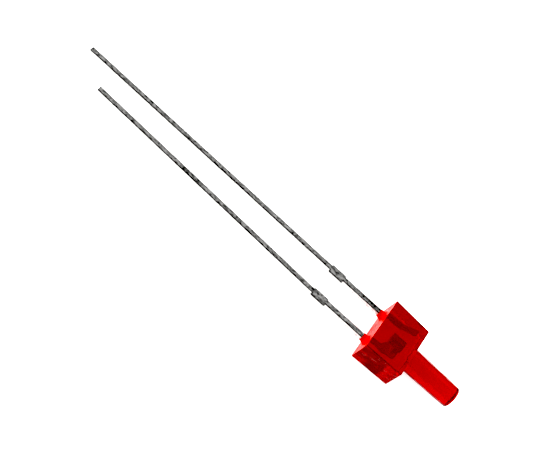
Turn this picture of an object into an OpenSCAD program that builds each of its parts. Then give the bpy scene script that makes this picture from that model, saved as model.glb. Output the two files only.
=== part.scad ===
// Through-hole LED with a rectangular base and a slim round light tower, cast in tinted clear resin.
//
// The part lies on a long side of its base. +X runs along the optical axis to the tip of the tower,
// +Y runs from the short cathode lead to the long anode lead, and +Z is up. The origin is the middle
// of the face that the leads come out of, so the leads run to -X. All sizes are in millimetres.

/* [Base] */
// Length of the base along the row of leads, at the lead face
base_length = 4.7; // [4.2:0.1:6]
// Height of the base, from the lead face to the foot of the tower
base_height = 3.15; // [2.6:0.05:5]
// Width of the ledge between the foot of the tower and each long side of the base
tower_ledge = 0.15; // [0.05:0.01:0.6]
// How far each short side leans in towards the axis over the height of the base
short_side_draft = 0.125; // [0:0.005:0.2]
// How far each long side leans in towards the axis over the height of the base
long_side_draft = 0.035; // [0:0.005:0.1]
// Radius of the four edges that run along the height of the base
base_edge_radius = 0.08; // [0.05:0.01:0.4]

/* [Tower] */
// Diameter of the tower at its foot
tower_diameter = 1.84; // [1.5:0.01:2.6]
// Length of the tower from the base to its tip
tower_length = 4.3; // [2:0.1:8]
// Draft angle of the tower's wall, in degrees
tower_draft = 1.15; // [0:0.05:1.5]
// Radius of the rounded rim at the tip
tower_rim_radius = 0.2; // [0.1:0.01:0.3]
// How far the end face bulges out inside the rounded rim
tower_end_bulge = 0.05; // [0.02:0.01:0.15]

/* [Resin around the leads] */
// How far the resin creeps up each lead from the lead face
creep_height = 0.4; // [0.2:0.05:0.6]
// How far the foot of the creep spreads past the film at its top
creep_spread = 0.2; // [0.1:0.02:0.3]
// Thickness of the film at the top of the creep, over the corners of the lead
creep_film = 0.02; // [0.01:0.01:0.05]

/* [Leads] */
// Distance between the centre lines of the two leads
lead_pitch = 2.54; // [2.1:0.01:3.1]
// Width of a lead, across the row of leads
lead_width = 0.4; // [0.3:0.01:0.5]
// Thickness of the sheet that the leads are stamped from
lead_thickness = 0.4; // [0.3:0.01:0.5]
// Length of the anode lead outside the base
anode_length = 27.9; // [12:0.1:34]
// Length of the cathode lead outside the base
cathode_length = 25.4; // [10:0.1:32]
// How far the tip of the anode lead leans away from the cathode lead, as it was handled
anode_lean = 0.13; // [-0.5:0.01:0.5]
// How far the tip of the cathode lead leans towards the anode lead
cathode_lean = 0.53; // [-0.5:0.01:0.6]
// Distance from the base to the stub that is left of the cut tie bar
tie_bar_gap = 3.8; // [1:0.05:6]
// Length of the stub, along the lead
tie_bar_length = 1.25; // [0.5:0.05:2]
// How far the stub stands out past each side of the lead, on average
tie_bar_stub = 0.16; // [0.1:0.01:0.4]
// How far off centre the tie bar was cut, so that the stub stands out further towards -Y
tie_bar_offset = 0.05; // [0:0.01:0.08]

/* [Reflector cup] */
// Distance from the rim of the cup to the foot of the tower
cup_setback = 0.8; // [0.6:0.05:1.5]
// Diameter of the mouth of the cup
cup_mouth_diameter = 0.8; // [0.7:0.05:1]
// Thickness of the cup's wall at its rim
cup_rim_wall = 0.1; // [0.05:0.01:0.15]
// Depth of the cup
cup_depth = 0.35; // [0.3:0.01:0.45]
// Length of the head that carries the cup
head_length = 1.1; // [0.8:0.05:1.3]
// Length of the shoulder where the cathode lead widens into its head
head_shoulder = 0.45; // [0.1:0.05:0.6]
// Distance from the rim of the cup to the end of the flat wing beside it
wing_setback = 0.15; // [0.05:0.05:0.4]

/* [Anode post] */
// How far the end of the anode post stands above the rim of the cup
post_rise = 0.3; // [0:0.05:0.4]
// Length of the slanting stretch at the end of the post
post_slant = 1.4; // [0.8:0.05:1.6]
// Resin between the end of the post and the short side of the base
post_cover = 0.25; // [0.2:0.05:0.6]
// Width of the end of the post
post_end_width = 0.46; // [0.4:0.02:0.7]

/* [Chip and bond wire] */
// Side of the square light-emitting chip
chip_side = 0.25; // [0.2:0.01:0.3]
// Height of the chip
chip_height = 0.18; // [0.1:0.01:0.22]
// Thickness of the conductive glue under the chip
glue_thickness = 0.02; // [0.01:0.005:0.03]
// Width of the glue that shows around the corners of the chip
glue_margin = 0.01; // [0.005:0.005:0.02]
// Width of the cup's floor that shows around the glue
cup_floor_margin = 0.025; // [0.01:0.005:0.05]
// Diameter of the bond wire
wire_diameter = 0.03; // [0.02:0.005:0.04]
// Height of the wire's loop above the straight line between its two ends
wire_loop = 0.4; // [0.25:0.01:0.5]
// Diameter of the ball on the chip and of the stitch on the post
bond_diameter = 0.09; // [0.07:0.01:0.12]
// Height of the ball and of the stitch
bond_height = 0.03; // [0.02:0.005:0.04]

/* [Hidden] */
$fn = 48;

base_thickness = tower_diameter + 2 * (tower_ledge + long_side_draft);
anode_y = lead_pitch / 2;
cathode_y = -lead_pitch / 2;
creep_top_radius = norm([lead_width, lead_thickness]) / 2 + creep_film;

cup_diameter = cup_mouth_diameter + 2 * cup_rim_wall;
glue_diameter = chip_side * sqrt(2) + 2 * glue_margin;
cup_floor_diameter = glue_diameter + 2 * cup_floor_margin;

// Places along the optical axis of what the resin holds
cup_rim_x = base_height - cup_setback;
cup_floor_x = cup_rim_x - cup_depth;
head_x = cup_rim_x - head_length;
chip_x = cup_floor_x + glue_thickness;
chip_top_x = chip_x + chip_height;
post_end_x = cup_rim_x + post_rise;

// The end of the anode post keeps its cover of resin as the short side of the base leans in
short_side_y = base_length / 2 - short_side_draft * post_end_x / base_height;
post_end_y = short_side_y - post_cover - post_end_width / 2;

// The wire is one arc in the plane of the leads, from inside the ball to inside the stitch
wire_start = [chip_top_x + bond_height / 2, 0];
wire_end = [post_end_x + bond_height / 2, post_end_y];
wire_span = norm(wire_end - wire_start);
wire_rise = [wire_end.y - wire_start.y, wire_start.x - wire_end.x] / wire_span;
wire_arc_radius = (pow(wire_span / 2, 2) + pow(wire_loop, 2)) / (2 * wire_loop);
wire_half_angle = asin(wire_span / 2 / wire_arc_radius);
wire_centre = (wire_start + wire_end) / 2 - wire_rise * (wire_arc_radius - wire_loop);

// Lays a shape that is drawn along +Z down along the optical axis
module along_axis(x = 0, y = 0) {
    translate([x, y, 0]) rotate([90, 0, 90]) children();
}

// Cuts an outline out of the sheet that the leads are stamped from
module stamped() {
    translate([0, 0, -lead_thickness / 2]) linear_extrude(height = lead_thickness) children();
}

// A block with four round edges, whose sides lean in towards the tower
module base_block() {
    edge_y = base_length / 2 - base_edge_radius;
    edge_z = base_thickness / 2 - base_edge_radius;
    along_axis() hull()
        for (side_y = [-1, 1], side_z = [-1, 1])
            multmatrix([
                [1, 0, -side_y * short_side_draft / base_height, side_y * edge_y],
                [0, 1, -side_z * long_side_draft / base_height, side_z * edge_z],
                [0, 0, 1, 0]
            ]) cylinder(h = base_height, r = base_edge_radius, $fn = 32);
}

// Half of the tower's section: drafted wall, rounded rim and slightly bulging end
module tower_section() {
    rim_height = tower_length - tower_end_bulge - tower_rim_radius;
    rim_side = tower_diameter / 2 - rim_height * tan(tower_draft);
    rim_centre = rim_side - tower_rim_radius / cos(tower_draft);
    wall_top = [rim_centre, rim_height] + tower_rim_radius * [cos(tower_draft), sin(tower_draft)];
    bulge_radius = (pow(rim_centre, 2) + pow(tower_end_bulge, 2)) / (2 * tower_end_bulge);
    polygon([[0, 0], [tower_diameter / 2, 0], wall_top, [rim_centre, rim_height], [0, rim_height]]);
    intersection() {
        translate([rim_centre, rim_height]) circle(tower_rim_radius);
        translate([rim_centre, rim_height]) square(2 * tower_rim_radius);
    }
    intersection() {
        translate([0, rim_height]) square([rim_centre, tower_length - rim_height]);
        translate([0, tower_length - bulge_radius]) circle(bulge_radius);
    }
}

module tower() {
    along_axis(base_height) rotate_extrude() tower_section();
}

// The concave skirt of resin that creeps up one lead
module resin_creep(y) {
    skirt_radius = (pow(creep_spread, 2) + pow(creep_height, 2)) / (2 * creep_spread);
    along_axis(0, y) mirror([0, 0, 1]) rotate_extrude()
        difference() {
            square([creep_top_radius + creep_spread, creep_height]);
            translate([creep_top_radius + skirt_radius, creep_height]) circle(skirt_radius);
        }
}

// One side of a lead from its tip to inner_x, as distances from its centre line
function leg_side(leg_length, inner_x, stub) = [
    [-leg_length, lead_width / 2],
    [-tie_bar_gap - tie_bar_length, lead_width / 2],
    [-tie_bar_gap - tie_bar_length, lead_width / 2 + stub],
    [-tie_bar_gap, lead_width / 2 + stub],
    [-tie_bar_gap, lead_width / 2],
    [inner_x, lead_width / 2]
];

// Flat outline of a lead at y, with its tip shifted sideways, and the stub of its tie bar
module leg_outline(y, leg_length, tip_shift, inner_x) {
    upper = leg_side(leg_length, inner_x, tie_bar_stub - tie_bar_offset);
    lower = leg_side(leg_length, inner_x, tie_bar_stub + tie_bar_offset);
    last = len(upper) - 1;
    shift = [for (i = [0:last]) i == 0 ? tip_shift : 0];
    polygon(concat(
        [for (i = [0:last]) [upper[i].x, y + shift[i] + upper[i].y]],
        [for (i = [last:-1:0]) [lower[i].x, y + shift[i] - lower[i].y]]
    ));
}

// The short lead widens into a head on the optical axis, with the reflector cup in its end
module cathode_lead() {
    outer_y = cathode_y - lead_width / 2;
    shoulder_x = head_x - head_shoulder;
    wing_end_x = cup_rim_x - wing_setback;
    color("silver") difference() {
        union() {
            stamped() leg_outline(cathode_y, cathode_length, cathode_lean, shoulder_x);
            stamped() polygon([
                [shoulder_x, outer_y], [shoulder_x, outer_y + lead_width],
                [head_x, -cup_diameter / 2], [head_x, 0],
                [wing_end_x, 0], [wing_end_x, outer_y + lead_width / 2], [head_x, outer_y]
            ]);
            along_axis(head_x) cylinder(h = head_length, d = cup_diameter);
        }
        along_axis(cup_floor_x)
            cylinder(h = cup_depth, d1 = cup_floor_diameter, d2 = cup_mouth_diameter);
    }
}

// The long lead ends in a post that slants out, with the end of the bond wire on it
module anode_lead() {
    slant_x = post_end_x - post_slant;
    color("silver") {
        stamped() leg_outline(anode_y, anode_length, anode_lean, slant_x);
        stamped() polygon([
            [slant_x, anode_y - lead_width / 2], [slant_x, anode_y + lead_width / 2],
            [post_end_x, post_end_y + post_end_width / 2],
            [post_end_x, post_end_y - post_end_width / 2]
        ]);
    }
}

module led_chip() {
    color("gold") translate([chip_x, -chip_side / 2, -chip_side / 2])
        cube([chip_height, chip_side, chip_side]);
}

module chip_glue() {
    color("lightgray") along_axis(cup_floor_x) cylinder(h = glue_thickness, d = glue_diameter);
}

module bond_wire() {
    color("goldenrod") {
        along_axis(chip_top_x) cylinder(h = bond_height, d = bond_diameter);
        along_axis(post_end_x, post_end_y) cylinder(h = bond_height, d = bond_diameter);
        translate(wire_centre)
            rotate([0, 0, atan2(wire_rise.y, wire_rise.x) - wire_half_angle])
                rotate_extrude(angle = 2 * wire_half_angle)
                    translate([wire_arc_radius, 0]) circle(d = wire_diameter);
    }
}

// One casting of resin around everything that it holds
module case() {
    color("red", 0.5) difference() {
        union() {
            base_block();
            tower();
            resin_creep(cathode_y);
            resin_creep(anode_y);
        }
        cathode_lead();
        anode_lead();
        led_chip();
        chip_glue();
        bond_wire();
    }
}

case();
cathode_lead();
anode_lead();
led_chip();
chip_glue();
bond_wire();
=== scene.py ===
"""A through-hole LED with a slim light tower, lying on its side under soft studio light.

Lengths in this script are in millimetres in the row frame, and are turned into metres where
they enter Blender. +X is the optical axis, +Y the way to the long anode lead, +Z is up.
"""
import math

import bmesh
import bpy
from mathutils import Matrix, Vector


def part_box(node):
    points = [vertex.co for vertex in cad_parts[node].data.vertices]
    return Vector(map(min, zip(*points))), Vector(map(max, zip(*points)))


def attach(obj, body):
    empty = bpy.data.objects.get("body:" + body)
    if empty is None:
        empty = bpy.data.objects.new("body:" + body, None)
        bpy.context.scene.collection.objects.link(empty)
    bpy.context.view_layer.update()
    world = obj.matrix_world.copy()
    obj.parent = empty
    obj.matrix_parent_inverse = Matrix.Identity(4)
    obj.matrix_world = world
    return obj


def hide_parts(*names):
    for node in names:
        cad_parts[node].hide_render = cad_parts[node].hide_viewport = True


MM = 0.001

# The camera: where it stands, and the directions of the picture's right side and top
CAMERA_AT = (-11.965, -42.16, 56.452)
CAMERA_RIGHT = (0.7406, 0.5251, 0.4192)
CAMERA_UP = (-0.6715, 0.6005, 0.4342)
CAMERA_LENS = 67.19
CAMERA_SENSOR = 36.0

# The casting's shape, as in the part's source
BASE_HEIGHT = 3.15
SHORT_SIDE_DRAFT = 0.125
LONG_SIDE_DRAFT = 0.035
BASE_EDGE_RADIUS = 0.08
TOWER_DIAMETER = 1.84
TOWER_DRAFT = math.radians(1.15)
TOWER_RIM_RADIUS = 0.2
TOWER_END_BULGE = 0.05
CREEP_FOOT_RADIUS = 0.503
CREEP_TOP_RADIUS = 0.303

# What the casting has besides: softened edges, and a rear face that sank as the resin set
FRONT_EDGE_RADIUS = 0.03
REAR_EDGE_RADIUS = 0.02
TOWER_FOOT_FILLET = 0.05
REAR_DISH = 0.05
# How far in from its edges and from the leads the rear face goes on sinking
DISH_SLOPE = 0.5
# The skin up to this far past the lead face was the open top of the mould, and is matte; it is
# also painted a paler salmon red, a painted reflection of the floor
POURED_SHEEN_TO = 0.06
# The creep's skin closes on a small disc, which lies hidden inside the lead
CREEP_CORE_RADIUS = 0.12

# How finely the casting is drawn: steps round a base edge, and along half of a long side
# and along a short side
BASE_EDGE_STEPS = 8
HALF_SIDE_STEPS = 18
SHORT_SIDE_STEPS = 20
REAR_EDGE_STEPS = 3
FRONT_EDGE_STEPS = 6
FOOT_FILLET_STEPS = 4
TOWER_RIM_STEPS = 10
CREEP_STEPS = 9
REAR_MIDDLE_STEPS = 12

# The leads: their rolled edges, which run this far into the casting, and how upright a face
# looks where the rolled face ends and where the sheared side starts. By these, each face takes
# one of three lit and shaded copies of one tin: painted shade on the flat faces, painted shade
# lines near black on the shoulders, painted light on the upright sides
LEAD_EDGE_RADIUS = 0.12
LEAD_EDGE_STEPS = 4
LEAD_EDGE_TO = 1.3
SHARP_EDGE_DEGREES = 40
ROLLED_FACE_FROM = 0.985
SHEARED_SIDE_TO = 0.15
# Along X, where the plating gives way to painted shade on the metal inside the casting: a dark
# colour that stands in for the shade it lies in
PLATED_TO = -0.3
SHADE_FULL_FROM = 0.1
INSIDE_PAINTED_SHADE = (0.22, 0.19, 0.18, 1.0)
# Noise up to the first value draws a dark mark on the plating, and from the second one none
MARK_TO = 0.42
PLAIN_FROM = 0.55

# The resin as a medium
RESIN_IOR = 1.55
RESIN_GLOSS_TINT = (1.0, 0.04, 0.03, 1.0)
RESIN_DEPTH_COLOUR = (0.99, 0.02, 0.01, 1.0)
RESIN_DENSITY = 2600.0

# The chip's crystal, and its round gold contact
CRYSTAL_DARK = (0.10, 0.07, 0.04, 1.0)
CRYSTAL_LIGHT = (0.22, 0.15, 0.08, 1.0)
CONTACT_RADIUS = 0.055
CONTACT_SOFT_EDGE = 0.007
CONTACT_GOLD = (0.85, 0.62, 0.25, 1.0)

# The range that most of a noise lies in
NOISE_LOW = 0.3
NOISE_HIGH = 0.7

# The floor is a light table, which keeps the shadows faint
FLOOR_HALF = 900.0
FLOOR_GLOW = 0.75
FLOOR_WHITE = (0.92, 0.92, 0.92, 1.0)
# The tent: bright walls ahead of and behind the part, along X, with a dim arch between them.
# The walls start and reach full light at these shares of X in a direction
WALL_LEVEL = 2.2
WALL_FROM = 0.42
WALL_FULL = 0.52
ARCH_LEVEL = 0.3
# A strip of light that runs along the top of the arch: how far it leans from the horizon
# towards +Y, half its width and its soft edge, in degrees
STRIP_ANGLE = 53.0
STRIP_HALF_WIDTH = 19.0
STRIP_SOFT_EDGE = 7.0
STRIP_LEVEL = 1.6
# Greys up to this level come out black
BLACK_LEVEL = 0.08


def box_mm(node):
    """A CAD node's lowest and highest corners in millimetres."""
    low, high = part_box(node)
    return low / MM, high / MM


def object_from(name, bm):
    """Turns a mesh drawn in millimetres into an object in metres."""
    bmesh.ops.recalc_face_normals(bm, faces=bm.faces)
    mesh = bpy.data.meshes.new(name)
    bm.to_mesh(mesh)
    bm.free()
    mesh.transform(Matrix.Scale(MM, 4))
    obj = bpy.data.objects.new(name, mesh)
    bpy.context.scene.collection.objects.link(obj)
    return obj


def smooth_by_angle(obj, degrees):
    """Shades a piece smoothly, apart from edges that turn by more than the angle."""
    bpy.context.view_layer.objects.active = obj
    obj.select_set(True)
    bpy.ops.object.shade_smooth_by_angle(angle=math.radians(degrees))
    obj.select_set(False)


# ---------------------------------------------------------------- resin body

def run(start, end, count):
    """Points from start up to, but not including, end."""
    return [start.lerp(end, i / count) for i in range(count)]


def rectangle_outline(half_y, half_z, radius):
    """A rounded rectangle as (y, z) points, starting at (0, half_z) and going round by -y."""
    corners = [(-1, 1, 90), (-1, -1, 180), (1, -1, 270), (1, 1, 0)]
    arcs = []
    for side_y, side_z, first in corners:
        centre = Vector((side_y * (half_y - radius), side_z * (half_z - radius)))
        turn = [math.radians(first + 90 * i / BASE_EDGE_STEPS) for i in range(BASE_EDGE_STEPS + 1)]
        arcs.append([centre + radius * Vector((math.cos(t), math.sin(t))) for t in turn])
    top, bottom = Vector((0, half_z)), Vector((0, -half_z))
    points = run(top, arcs[0][0], HALF_SIDE_STEPS) + arcs[0][:-1]
    points += run(arcs[0][-1], arcs[1][0], SHORT_SIDE_STEPS) + arcs[1][:-1]
    points += run(arcs[1][-1], bottom, HALF_SIDE_STEPS)
    points += run(bottom, arcs[2][0], HALF_SIDE_STEPS) + arcs[2][:-1]
    points += run(arcs[2][-1], arcs[3][0], SHORT_SIDE_STEPS) + arcs[3][:-1]
    points += run(arcs[3][-1], top, HALF_SIDE_STEPS)
    return points


def circle_like(points, centre, radius):
    """The points of a circle that lie in the same directions from centre as the given ones."""
    return [centre + radius * (p - centre).normalized() for p in points]


def mix(first, second, share):
    """Points that lie this share of the way from the first outline to the second."""
    return [a.lerp(b, share) for a, b in zip(first, second)]


def add_ring(bm, points, x):
    """Vertices at the given (y, z) points, all at height x."""
    return [bm.verts.new((x, p.x, p.y)) for p in points]


def join_rings(bm, first, second):
    """A band of four-sided faces between two closed rings of vertices."""
    count = len(first)
    for i in range(count):
        j = (i + 1) % count
        bm.faces.new((first[i], first[j], second[j], second[i]))


def wall_outline(length, thickness, x, inset=0.0):
    """The base's outline at height x, moved in by inset."""
    share = x / BASE_HEIGHT
    half_y = length / 2 - SHORT_SIDE_DRAFT * share - inset
    half_z = thickness / 2 - LONG_SIDE_DRAFT * share - inset
    return rectangle_outline(half_y, half_z, BASE_EDGE_RADIUS - inset)


def front_rings(length, thickness, tip_x):
    """(outline, x) from the rear edge along the walls, over the front and up the tower."""
    rings = []
    for i in range(REAR_EDGE_STEPS + 1):
        turn = math.radians(90 * i / REAR_EDGE_STEPS)
        inset = REAR_EDGE_RADIUS * (1 - math.sin(turn))
        rings.append((inset, REAR_EDGE_RADIUS * (1 - math.cos(turn))))
    for share in (0.1, 0.5, 0.9):
        rings.append((0.0, BASE_HEIGHT * share))
    for i in range(FRONT_EDGE_STEPS + 1):
        turn = math.radians(90 * i / FRONT_EDGE_STEPS)
        inset = FRONT_EDGE_RADIUS * (1 - math.cos(turn))
        rings.append((inset, BASE_HEIGHT - FRONT_EDGE_RADIUS * (1 - math.sin(turn))))
    walls = [(wall_outline(length, thickness, x, inset), x) for inset, x in rings]

    centre = Vector((0, 0))
    edge = walls[-1][0]
    foot = circle_like(edge, centre, TOWER_DIAMETER / 2 + TOWER_FOOT_FILLET)
    lathe = [(mix(edge, foot, share), BASE_HEIGHT) for share in (0.2, 0.6, 0.9, 1.0)]
    for i in range(1, FOOT_FILLET_STEPS + 1):
        turn = math.radians(90 * i / FOOT_FILLET_STEPS)
        radius = TOWER_DIAMETER / 2 + TOWER_FOOT_FILLET * (1 - math.sin(turn))
        lathe.append((circle_like(edge, centre, radius),
                      BASE_HEIGHT + TOWER_FOOT_FILLET * (1 - math.cos(turn))))
    for radius, x in tower_profile(tip_x):
        lathe.append((circle_like(edge, centre, radius), x))
    return walls + lathe


def tower_profile(tip_x):
    """(radius, x) up the tower's wall, round its rim and over the bulging end."""
    rim_x = tip_x - TOWER_END_BULGE - TOWER_RIM_RADIUS
    rim_side = TOWER_DIAMETER / 2 - (rim_x - BASE_HEIGHT) * math.tan(TOWER_DRAFT)
    rim_centre = rim_side - TOWER_RIM_RADIUS / math.cos(TOWER_DRAFT)
    bulge_radius = (rim_centre ** 2 + TOWER_END_BULGE ** 2) / (2 * TOWER_END_BULGE)
    points = []
    for share in (0.1, 0.3, 0.5, 0.7, 0.9):
        x = BASE_HEIGHT + (rim_x - BASE_HEIGHT) * share
        points.append((TOWER_DIAMETER / 2 - (x - BASE_HEIGHT) * math.tan(TOWER_DRAFT), x))
    for i in range(TOWER_RIM_STEPS + 1):
        turn = TOWER_DRAFT + (math.radians(90) - TOWER_DRAFT) * i / TOWER_RIM_STEPS
        points.append((rim_centre + TOWER_RIM_RADIUS * math.cos(turn),
                       rim_x + TOWER_RIM_RADIUS * math.sin(turn)))
    for share in (0.8, 0.55, 0.3, 0.08):
        radius = rim_centre * share
        sag = bulge_radius - math.sqrt(bulge_radius ** 2 - radius ** 2)
        points.append((radius, tip_x - sag))
    return points


def dish(y, z, lead_y, half_y, half_z):
    """How deep the rear face has sunk at a point: none at its edge or at a lead."""
    from_side = min(1.0, (half_y - abs(y)) / DISH_SLOPE)
    to_edge = from_side * min(1.0, (half_z - abs(z)) / DISH_SLOPE)
    to_lead = math.hypot(y - lead_y, z) - CREEP_FOOT_RADIUS
    return REAR_DISH * max(0.0, to_edge) * min(1.0, max(0.0, to_lead / DISH_SLOPE))


def rear_half(bm, loop, lead_y, half_y, half_z, creep_x):
    """One half of the rear face, from its loop of vertices in to the creep round its lead."""
    centre = Vector((lead_y, 0))
    flat = [Vector((v.co.y, v.co.z)) for v in loop]
    foot = circle_like(flat, centre, CREEP_FOOT_RADIUS)
    last = loop
    for share in (0.1, 0.25, 0.45, 0.65, 0.82, 0.93, 1.0):
        ring = add_ring(bm, mix(flat, foot, share), 0.0)
        for vert in ring:
            vert.co.x += dish(vert.co.y, vert.co.z, lead_y, half_y, half_z)
        join_rings(bm, last, ring)
        last = ring
    spread, height = CREEP_FOOT_RADIUS - CREEP_TOP_RADIUS, -creep_x
    skirt_radius = (spread ** 2 + height ** 2) / (2 * spread)
    for i in range(1, CREEP_STEPS + 1):
        x = -height * i / CREEP_STEPS
        radius = CREEP_TOP_RADIUS + skirt_radius - math.sqrt(skirt_radius ** 2 - (height + x) ** 2)
        ring = add_ring(bm, circle_like(flat, centre, radius), x)
        join_rings(bm, last, ring)
        last = ring
    inner = add_ring(bm, circle_like(flat, centre, CREEP_CORE_RADIUS), creep_x)
    join_rings(bm, last, inner)
    bm.faces.new(inner)


def make_resin():
    """The casting's outer skin as one closed mesh: what it holds lies inside it."""
    low, high = box_mm("case")
    length, thickness = high.y - low.y, high.z - low.z
    bm = bmesh.new()
    rings = front_rings(length, thickness, high.x)
    rear = last = add_ring(bm, *rings[0])
    for outline, x in rings[1:]:
        ring = add_ring(bm, outline, x)
        join_rings(bm, last, ring)
        last = ring
    tip = bm.verts.new((high.x, 0, 0))
    for i in range(len(last)):
        bm.faces.new((last[i], last[(i + 1) % len(last)], tip))

    half_z = thickness / 2 - REAR_EDGE_RADIUS
    half_y = length / 2 - REAR_EDGE_RADIUS
    bottom = len(rear) // 2
    heights = [half_z * (1 - 2 * i / REAR_MIDDLE_STEPS) for i in range(1, REAR_MIDDLE_STEPS)]
    middle = [bm.verts.new((REAR_DISH * min(1.0, (half_z - abs(z)) / DISH_SLOPE), 0, z))
              for z in heights]
    minus_y = rear[0:bottom + 1] + middle[::-1]
    plus_y = rear[bottom:] + [rear[0]] + middle
    for loop, side in ((minus_y, -1), (plus_y, 1)):
        rear_half(bm, loop, lead_axis_y(side, low.x), half_y, half_z, low.x)
    bmesh.ops.remove_doubles(bm, verts=bm.verts, dist=1e-5)
    obj = object_from("resin_body", bm)
    smooth_by_angle(obj, degrees=35)
    return obj


def lead_axis_y(side, creep_x):
    """The y of the centre line of the lead at side (-1 or 1): the middle of its creep's top."""
    rim = [v.co.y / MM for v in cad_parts["case"].data.vertices
           if abs(v.co.x / MM - creep_x) < 0.01 and v.co.y * side > 0]
    return (min(rim) + max(rim)) / 2


# ---------------------------------------------------------------- leads

def make_lead(node, name):
    """A lead with the rolled edges of stamped sheet, from the frame's own mesh."""
    bm = bmesh.new()
    bm.from_mesh(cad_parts[node].data)
    bmesh.ops.scale(bm, vec=(1 / MM,) * 3, verts=bm.verts)
    bmesh.ops.remove_doubles(bm, verts=bm.verts, dist=1e-4)
    bmesh.ops.dissolve_limit(bm, angle_limit=math.radians(0.5), verts=bm.verts, edges=bm.edges)
    outside = [e for e in bm.edges
               if max(v.co.x for v in e.verts) < LEAD_EDGE_TO and e.is_manifold
               and e.calc_face_angle(0) > math.radians(SHARP_EDGE_DEGREES)]
    bmesh.ops.bevel(bm, geom=outside, offset=LEAD_EDGE_RADIUS, segments=LEAD_EDGE_STEPS,
                    profile=0.5, affect="EDGES", clamp_overlap=True)
    bmesh.ops.triangulate(bm, faces=[f for f in bm.faces if len(f.verts) > 4])
    obj = object_from(name, bm)
    smooth_by_angle(obj, degrees=30)
    return obj


# ---------------------------------------------------------------- materials

def new_material(name):
    """A node material, with its nodes, its links and its main shader."""
    material = bpy.data.materials.new(name)
    material.use_nodes = True
    nodes = material.node_tree.nodes
    return material, nodes, material.node_tree.links, nodes["Principled BSDF"]


def position(nodes, links, scale=(1.0, 1.0, 1.0)):
    """The place on the piece in millimetres, stretched by scale."""
    place = nodes.new("ShaderNodeTexCoord")
    mapping = nodes.new("ShaderNodeMapping")
    mapping.inputs["Scale"].default_value = [s / MM for s in scale]
    links.new(place.outputs["Object"], mapping.inputs["Vector"])
    return mapping.outputs["Vector"]


def noise_at(nodes, links, where, scale, detail=4.0, roughness=0.55):
    """Noise from 0 to 1 at a place, with scale times as many features to a millimetre."""
    texture = nodes.new("ShaderNodeTexNoise")
    texture.inputs["Scale"].default_value = scale
    texture.inputs["Detail"].default_value = detail
    texture.inputs["Roughness"].default_value = roughness
    links.new(where, texture.inputs["Vector"])
    return texture.outputs["Fac"]


def remap(nodes, links, value, low, high, out_low, out_high):
    """Turns the range from low to high into the one from out_low to out_high."""
    node = nodes.new("ShaderNodeMapRange")
    for key, number in (("From Min", low), ("From Max", high),
                        ("To Min", out_low), ("To Max", out_high)):
        node.inputs[key].default_value = number
    links.new(value, node.inputs["Value"])
    return node.outputs["Result"]


def bump(nodes, links, height, distance_mm, strength=1.0, normal=None):
    """A surface direction that follows height, on top of another one where that is given."""
    node = nodes.new("ShaderNodeBump")
    node.inputs["Distance"].default_value = distance_mm * MM
    node.inputs["Strength"].default_value = strength
    links.new(height, node.inputs["Height"])
    if normal is not None:
        links.new(normal, node.inputs["Normal"])
    return node.outputs["Normal"]


def resin_material(name, colour, transmission, gloss, smooth, rough):
    """Clear red resin: it takes out light by the depth that the light crosses."""
    material, nodes, links, shader = new_material(name)
    shader.inputs["Base Color"].default_value = (*colour, 1.0)
    shader.inputs["Specular Tint"].default_value = RESIN_GLOSS_TINT
    shader.inputs["Transmission Weight"].default_value = transmission
    shader.inputs["IOR"].default_value = RESIN_IOR
    shader.inputs["Specular IOR Level"].default_value = gloss
    fine = noise_at(nodes, links, position(nodes, links), scale=3.0)
    links.new(remap(nodes, links, fine, NOISE_LOW, NOISE_HIGH, smooth, rough),
              shader.inputs["Roughness"])
    along = position(nodes, links, (0.7, 1.0, 1.0))
    flow = noise_at(nodes, links, along, scale=1.5, detail=2.0)
    links.new(bump(nodes, links, flow, distance_mm=0.09, strength=0.7), shader.inputs["Normal"])
    depth = nodes.new("ShaderNodeVolumeAbsorption")
    depth.inputs["Color"].default_value = RESIN_DEPTH_COLOUR
    depth.inputs["Density"].default_value = RESIN_DENSITY
    links.new(depth.outputs["Volume"], nodes["Material Output"].inputs["Volume"])
    return material


def shade_inside(nodes, links, plated):
    """The plating's colour outside the casting, and a dark painted shade on the metal inside it."""
    place = nodes.new("ShaderNodeTexCoord")
    split = nodes.new("ShaderNodeSeparateXYZ")
    links.new(place.outputs["Object"], split.inputs["Vector"])
    blend = nodes.new("ShaderNodeMix")
    blend.data_type = "RGBA"
    inside = remap(nodes, links, split.outputs["X"], PLATED_TO * MM, SHADE_FULL_FROM * MM, 0.0, 1.0)
    links.new(inside, blend.inputs["Factor"])
    links.new(plated, blend.inputs["A"])
    # Painted shade: the metal inside the casting gets a dark colour in place of its plating
    blend.inputs["B"].default_value = INSIDE_PAINTED_SHADE
    return blend.outputs["Result"]


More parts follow.
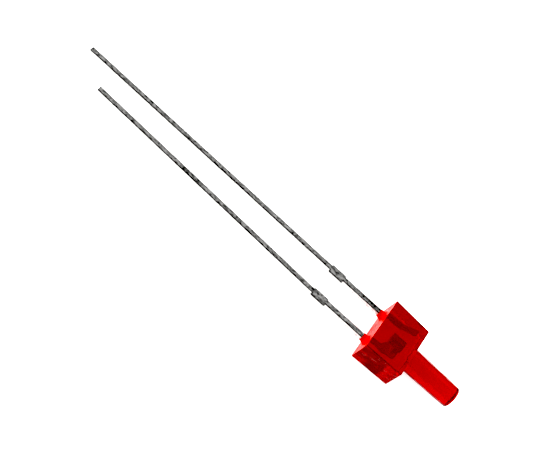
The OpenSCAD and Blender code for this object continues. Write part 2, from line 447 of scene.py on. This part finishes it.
def lead_material(name, dark, light):
    """Tin-plated steel with fine marks drawn along the lead, from dark to light; each copy's dark
    and light levels are painted shade or painted light for the faces it goes on.
    """
    material, nodes, links, shader = new_material(name)
    shader.inputs["Specular Tint"].default_value = (light, light, light, 1.0)
    shader.inputs["Metallic"].default_value = 1.0
    along = position(nodes, links, (1.0, 2.5, 2.5))
    marks = noise_at(nodes, links, along, scale=5.0, detail=6.0, roughness=0.7)
    tint = nodes.new("ShaderNodeValToRGB")
    tint.color_ramp.elements[0].position = MARK_TO
    tint.color_ramp.elements[0].color = (dark, dark, dark * 0.97, 1.0)
    tint.color_ramp.elements[1].position = PLAIN_FROM
    tint.color_ramp.elements[1].color = (light, light * 0.99, light * 0.97, 1.0)
    links.new(marks, tint.inputs["Fac"])
    links.new(shade_inside(nodes, links, tint.outputs["Color"]), shader.inputs["Base Color"])
    spots = noise_at(nodes, links, position(nodes, links), scale=2.2, detail=5.0)
    polish = remap(nodes, links, spots, low=0.35, high=0.7, out_low=0.14, out_high=0.38)
    links.new(polish, shader.inputs["Roughness"])
    wide = position(nodes, links, (1.4, 2.0, 2.0))
    waves = noise_at(nodes, links, wide, scale=1.6, detail=3.0)
    soft = bump(nodes, links, waves, distance_mm=0.009)
    links.new(bump(nodes, links, marks, distance_mm=0.004, normal=soft), shader.inputs["Normal"])
    return material


def plain_metal(name, colour, roughness, grain):
    """One metal with a fine grain, both in its colour and in its polish."""
    material, nodes, links, shader = new_material(name)
    shader.inputs["Metallic"].default_value = 1.0
    speck = noise_at(nodes, links, position(nodes, links), grain)
    tint = nodes.new("ShaderNodeValToRGB")
    tint.color_ramp.elements[0].color = [c * 0.7 for c in colour] + [1.0]
    tint.color_ramp.elements[1].color = list(colour) + [1.0]
    links.new(speck, tint.inputs["Fac"])
    links.new(tint.outputs["Color"], shader.inputs["Base Color"])
    polish = remap(nodes, links, speck, NOISE_LOW, NOISE_HIGH, roughness, roughness + 0.2)
    links.new(polish, shader.inputs["Roughness"])
    return material


def chip_material():
    """A sawn crystal of grainy tone, with a round contact on its front."""
    material, nodes, links, shader = new_material("chip_crystal")
    low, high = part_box("led_chip")
    middle = (low + high) / 2
    place = nodes.new("ShaderNodeTexCoord")
    distance = nodes.new("ShaderNodeVectorMath")
    distance.operation = "DISTANCE"
    distance.inputs[1].default_value = (high.x, middle.y, middle.z)
    links.new(place.outputs["Object"], distance.inputs[0])
    rim = CONTACT_RADIUS + CONTACT_SOFT_EDGE
    contact = remap(nodes, links, distance.outputs["Value"], CONTACT_RADIUS * MM, rim * MM, 1.0, 0.0)
    grain = noise_at(nodes, links, position(nodes, links), scale=30.0)
    tint = nodes.new("ShaderNodeValToRGB")
    tint.color_ramp.elements[0].color = CRYSTAL_DARK
    tint.color_ramp.elements[1].color = CRYSTAL_LIGHT
    links.new(grain, tint.inputs["Fac"])
    blend = nodes.new("ShaderNodeMix")
    blend.data_type = "RGBA"
    links.new(contact, blend.inputs["Factor"])
    links.new(tint.outputs["Color"], blend.inputs["A"])
    blend.inputs["B"].default_value = CONTACT_GOLD
    links.new(blend.outputs["Result"], shader.inputs["Base Color"])
    links.new(contact, shader.inputs["Metallic"])
    polish = remap(nodes, links, grain, NOISE_LOW, NOISE_HIGH, out_low=0.3, out_high=0.55)
    links.new(polish, shader.inputs["Roughness"])
    return material


def paint(obj, material):
    """Gives a piece this one material."""
    obj.data.materials.clear()
    obj.data.materials.append(material)


def paint_node(node, material):
    """Gives a CAD node this material in place of its own."""
    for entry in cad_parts[node].material_slots:
        entry.material = material


# ---------------------------------------------------------------- studio

def make_floor(z_mm):
    """A plain white plate that glows faintly, as a light table does."""
    mesh = bpy.data.meshes.new("floor")
    half = FLOOR_HALF * MM
    corners = [(-half, -half, 0), (half, -half, 0), (half, half, 0), (-half, half, 0)]
    mesh.from_pydata(corners, [], [(0, 1, 2, 3)])
    floor = bpy.data.objects.new("floor", mesh)
    floor.location.z = z_mm * MM
    bpy.context.scene.collection.objects.link(floor)
    material, _, _, shader = new_material("floor_white")
    shader.inputs["Base Color"].default_value = FLOOR_WHITE
    shader.inputs["Roughness"].default_value = 0.9
    shader.inputs["Specular IOR Level"].default_value = 0.0
    shader.inputs["Emission Color"].default_value = (1.0, 1.0, 1.0, 1.0)
    shader.inputs["Emission Strength"].default_value = FLOOR_GLOW
    mesh.materials.append(material)


def make_world():
    """Bright walls light the floor, and the leads mirror the dim arch and its strip."""
    world = bpy.data.worlds.new("studio")
    bpy.context.scene.world = world
    world.use_nodes = True
    nodes, links = world.node_tree.nodes, world.node_tree.links
    place = nodes.new("ShaderNodeTexCoord").outputs["Generated"]
    split = nodes.new("ShaderNodeSeparateXYZ")
    links.new(place, split.inputs["Vector"])
    sideways = nodes.new("ShaderNodeMath")
    sideways.operation = "ABSOLUTE"
    links.new(split.outputs["X"], sideways.inputs[0])
    walls = remap(nodes, links, sideways.outputs["Value"], WALL_FROM, WALL_FULL,
                  ARCH_LEVEL, WALL_LEVEL)
    lean = math.radians(STRIP_ANGLE)
    dot = nodes.new("ShaderNodeVectorMath")
    dot.operation = "DOT_PRODUCT"
    dot.inputs[1].default_value = (0.0, -math.sin(lean), math.cos(lean))
    links.new(place, dot.inputs[0])
    away = nodes.new("ShaderNodeMath")
    away.operation = "ABSOLUTE"
    links.new(dot.outputs["Value"], away.inputs[0])
    rim = math.sin(math.radians(STRIP_HALF_WIDTH))
    full = math.sin(math.radians(STRIP_HALF_WIDTH - STRIP_SOFT_EDGE))
    strip = remap(nodes, links, away.outputs["Value"], full, rim, STRIP_LEVEL, 0.0)
    total = nodes.new("ShaderNodeMath")
    total.operation = "ADD"
    links.new(walls, total.inputs[0])
    links.new(strip, total.inputs[1])
    links.new(total.outputs["Value"], nodes["Background"].inputs["Strength"])
    nodes["Background"].inputs["Color"].default_value = (1.0, 1.0, 1.0, 1.0)


def set_contrast(view):
    """Plain colours, with the faintest greys taken down to black."""
    view.view_transform = "Standard"
    view.use_curve_mapping = True
    view.curve_mapping.black_level = (BLACK_LEVEL,) * 3
    view.curve_mapping.update()


def make_camera():
    """A camera without blur, from its place and the picture's right side and top."""
    data = bpy.data.cameras.new("camera")
    data.sensor_width = CAMERA_SENSOR
    data.lens = CAMERA_LENS
    data.clip_start = 0.001
    data.clip_end = 10.0
    camera = bpy.data.objects.new("camera", data)
    bpy.context.scene.collection.objects.link(camera)
    right, up = Vector(CAMERA_RIGHT).normalized(), Vector(CAMERA_UP).normalized()
    back = right.cross(up)
    turn = Matrix((right, up, back)).transposed()
    camera.matrix_world = Matrix.Translation(Vector(CAMERA_AT) * MM) @ turn.to_4x4()
    bpy.context.scene.camera = camera


# ---------------------------------------------------------------- the scene

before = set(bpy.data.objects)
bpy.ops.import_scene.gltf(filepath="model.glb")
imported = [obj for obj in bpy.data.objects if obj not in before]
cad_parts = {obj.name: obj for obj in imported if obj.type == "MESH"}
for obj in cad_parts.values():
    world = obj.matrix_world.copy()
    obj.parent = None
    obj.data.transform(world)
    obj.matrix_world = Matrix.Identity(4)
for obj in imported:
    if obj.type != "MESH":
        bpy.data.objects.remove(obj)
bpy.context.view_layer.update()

make_camera()
make_world()
make_floor(box_mm("case")[0].z)

# Three lit and shaded copies of one tin: the flat faces painted dark as shade, the shoulders painted
# near black as shade lines, the upright sides painted bright as lit
rolled = lead_material("tin_rolled_face_painted_shade", dark=0.02, light=0.25)
shoulder = lead_material("tin_shoulder_painted_shade_line", dark=0.004, light=0.03)
sheared = lead_material("tin_sheared_side_painted_light", dark=0.5, light=0.85)

resin = make_resin()
paint(resin, resin_material("red_resin", (0.45, 0.006, 0.004), transmission=0.84, gloss=0.5,
                            smooth=0.02, rough=0.09))
# The open top of the mould: matte, and painted a paler red as a painted reflection of the floor
resin.data.materials.append(
    resin_material("red_resin_poured_painted_sheen", (0.75, 0.04, 0.03), transmission=0.2, gloss=0.05,
                   smooth=0.2, rough=0.4))
for face in resin.data.polygons:
    face.material_index = int(face.center.x < POURED_SHEEN_TO * MM)
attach(resin, "root")
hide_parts("case")

for node, name in (("cathode_lead", "short_lead"), ("anode_lead", "long_lead")):
    lead = make_lead(node, name)
    paint(lead, rolled)
    lead.data.materials.append(shoulder)
    lead.data.materials.append(sheared)
    # Each face takes the copy painted for how upright it is: painted shade on flat faces and
    # shoulders, painted light on upright sides
    for face in lead.data.polygons:
        steep = abs(face.normal.z)
        face.material_index = int(steep <= ROLLED_FACE_FROM) + int(steep <= SHEARED_SIDE_TO)
    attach(lead, "root")
    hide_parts(node)

paint_node("led_chip", chip_material())
paint_node("chip_glue",
           plain_metal("silver_glue", (0.55, 0.55, 0.55), roughness=0.5, grain=25.0))
paint_node("bond_wire",
           plain_metal("drawn_gold", (0.95, 0.70, 0.30), roughness=0.15, grain=20.0))

set_contrast(bpy.context.scene.view_settings)
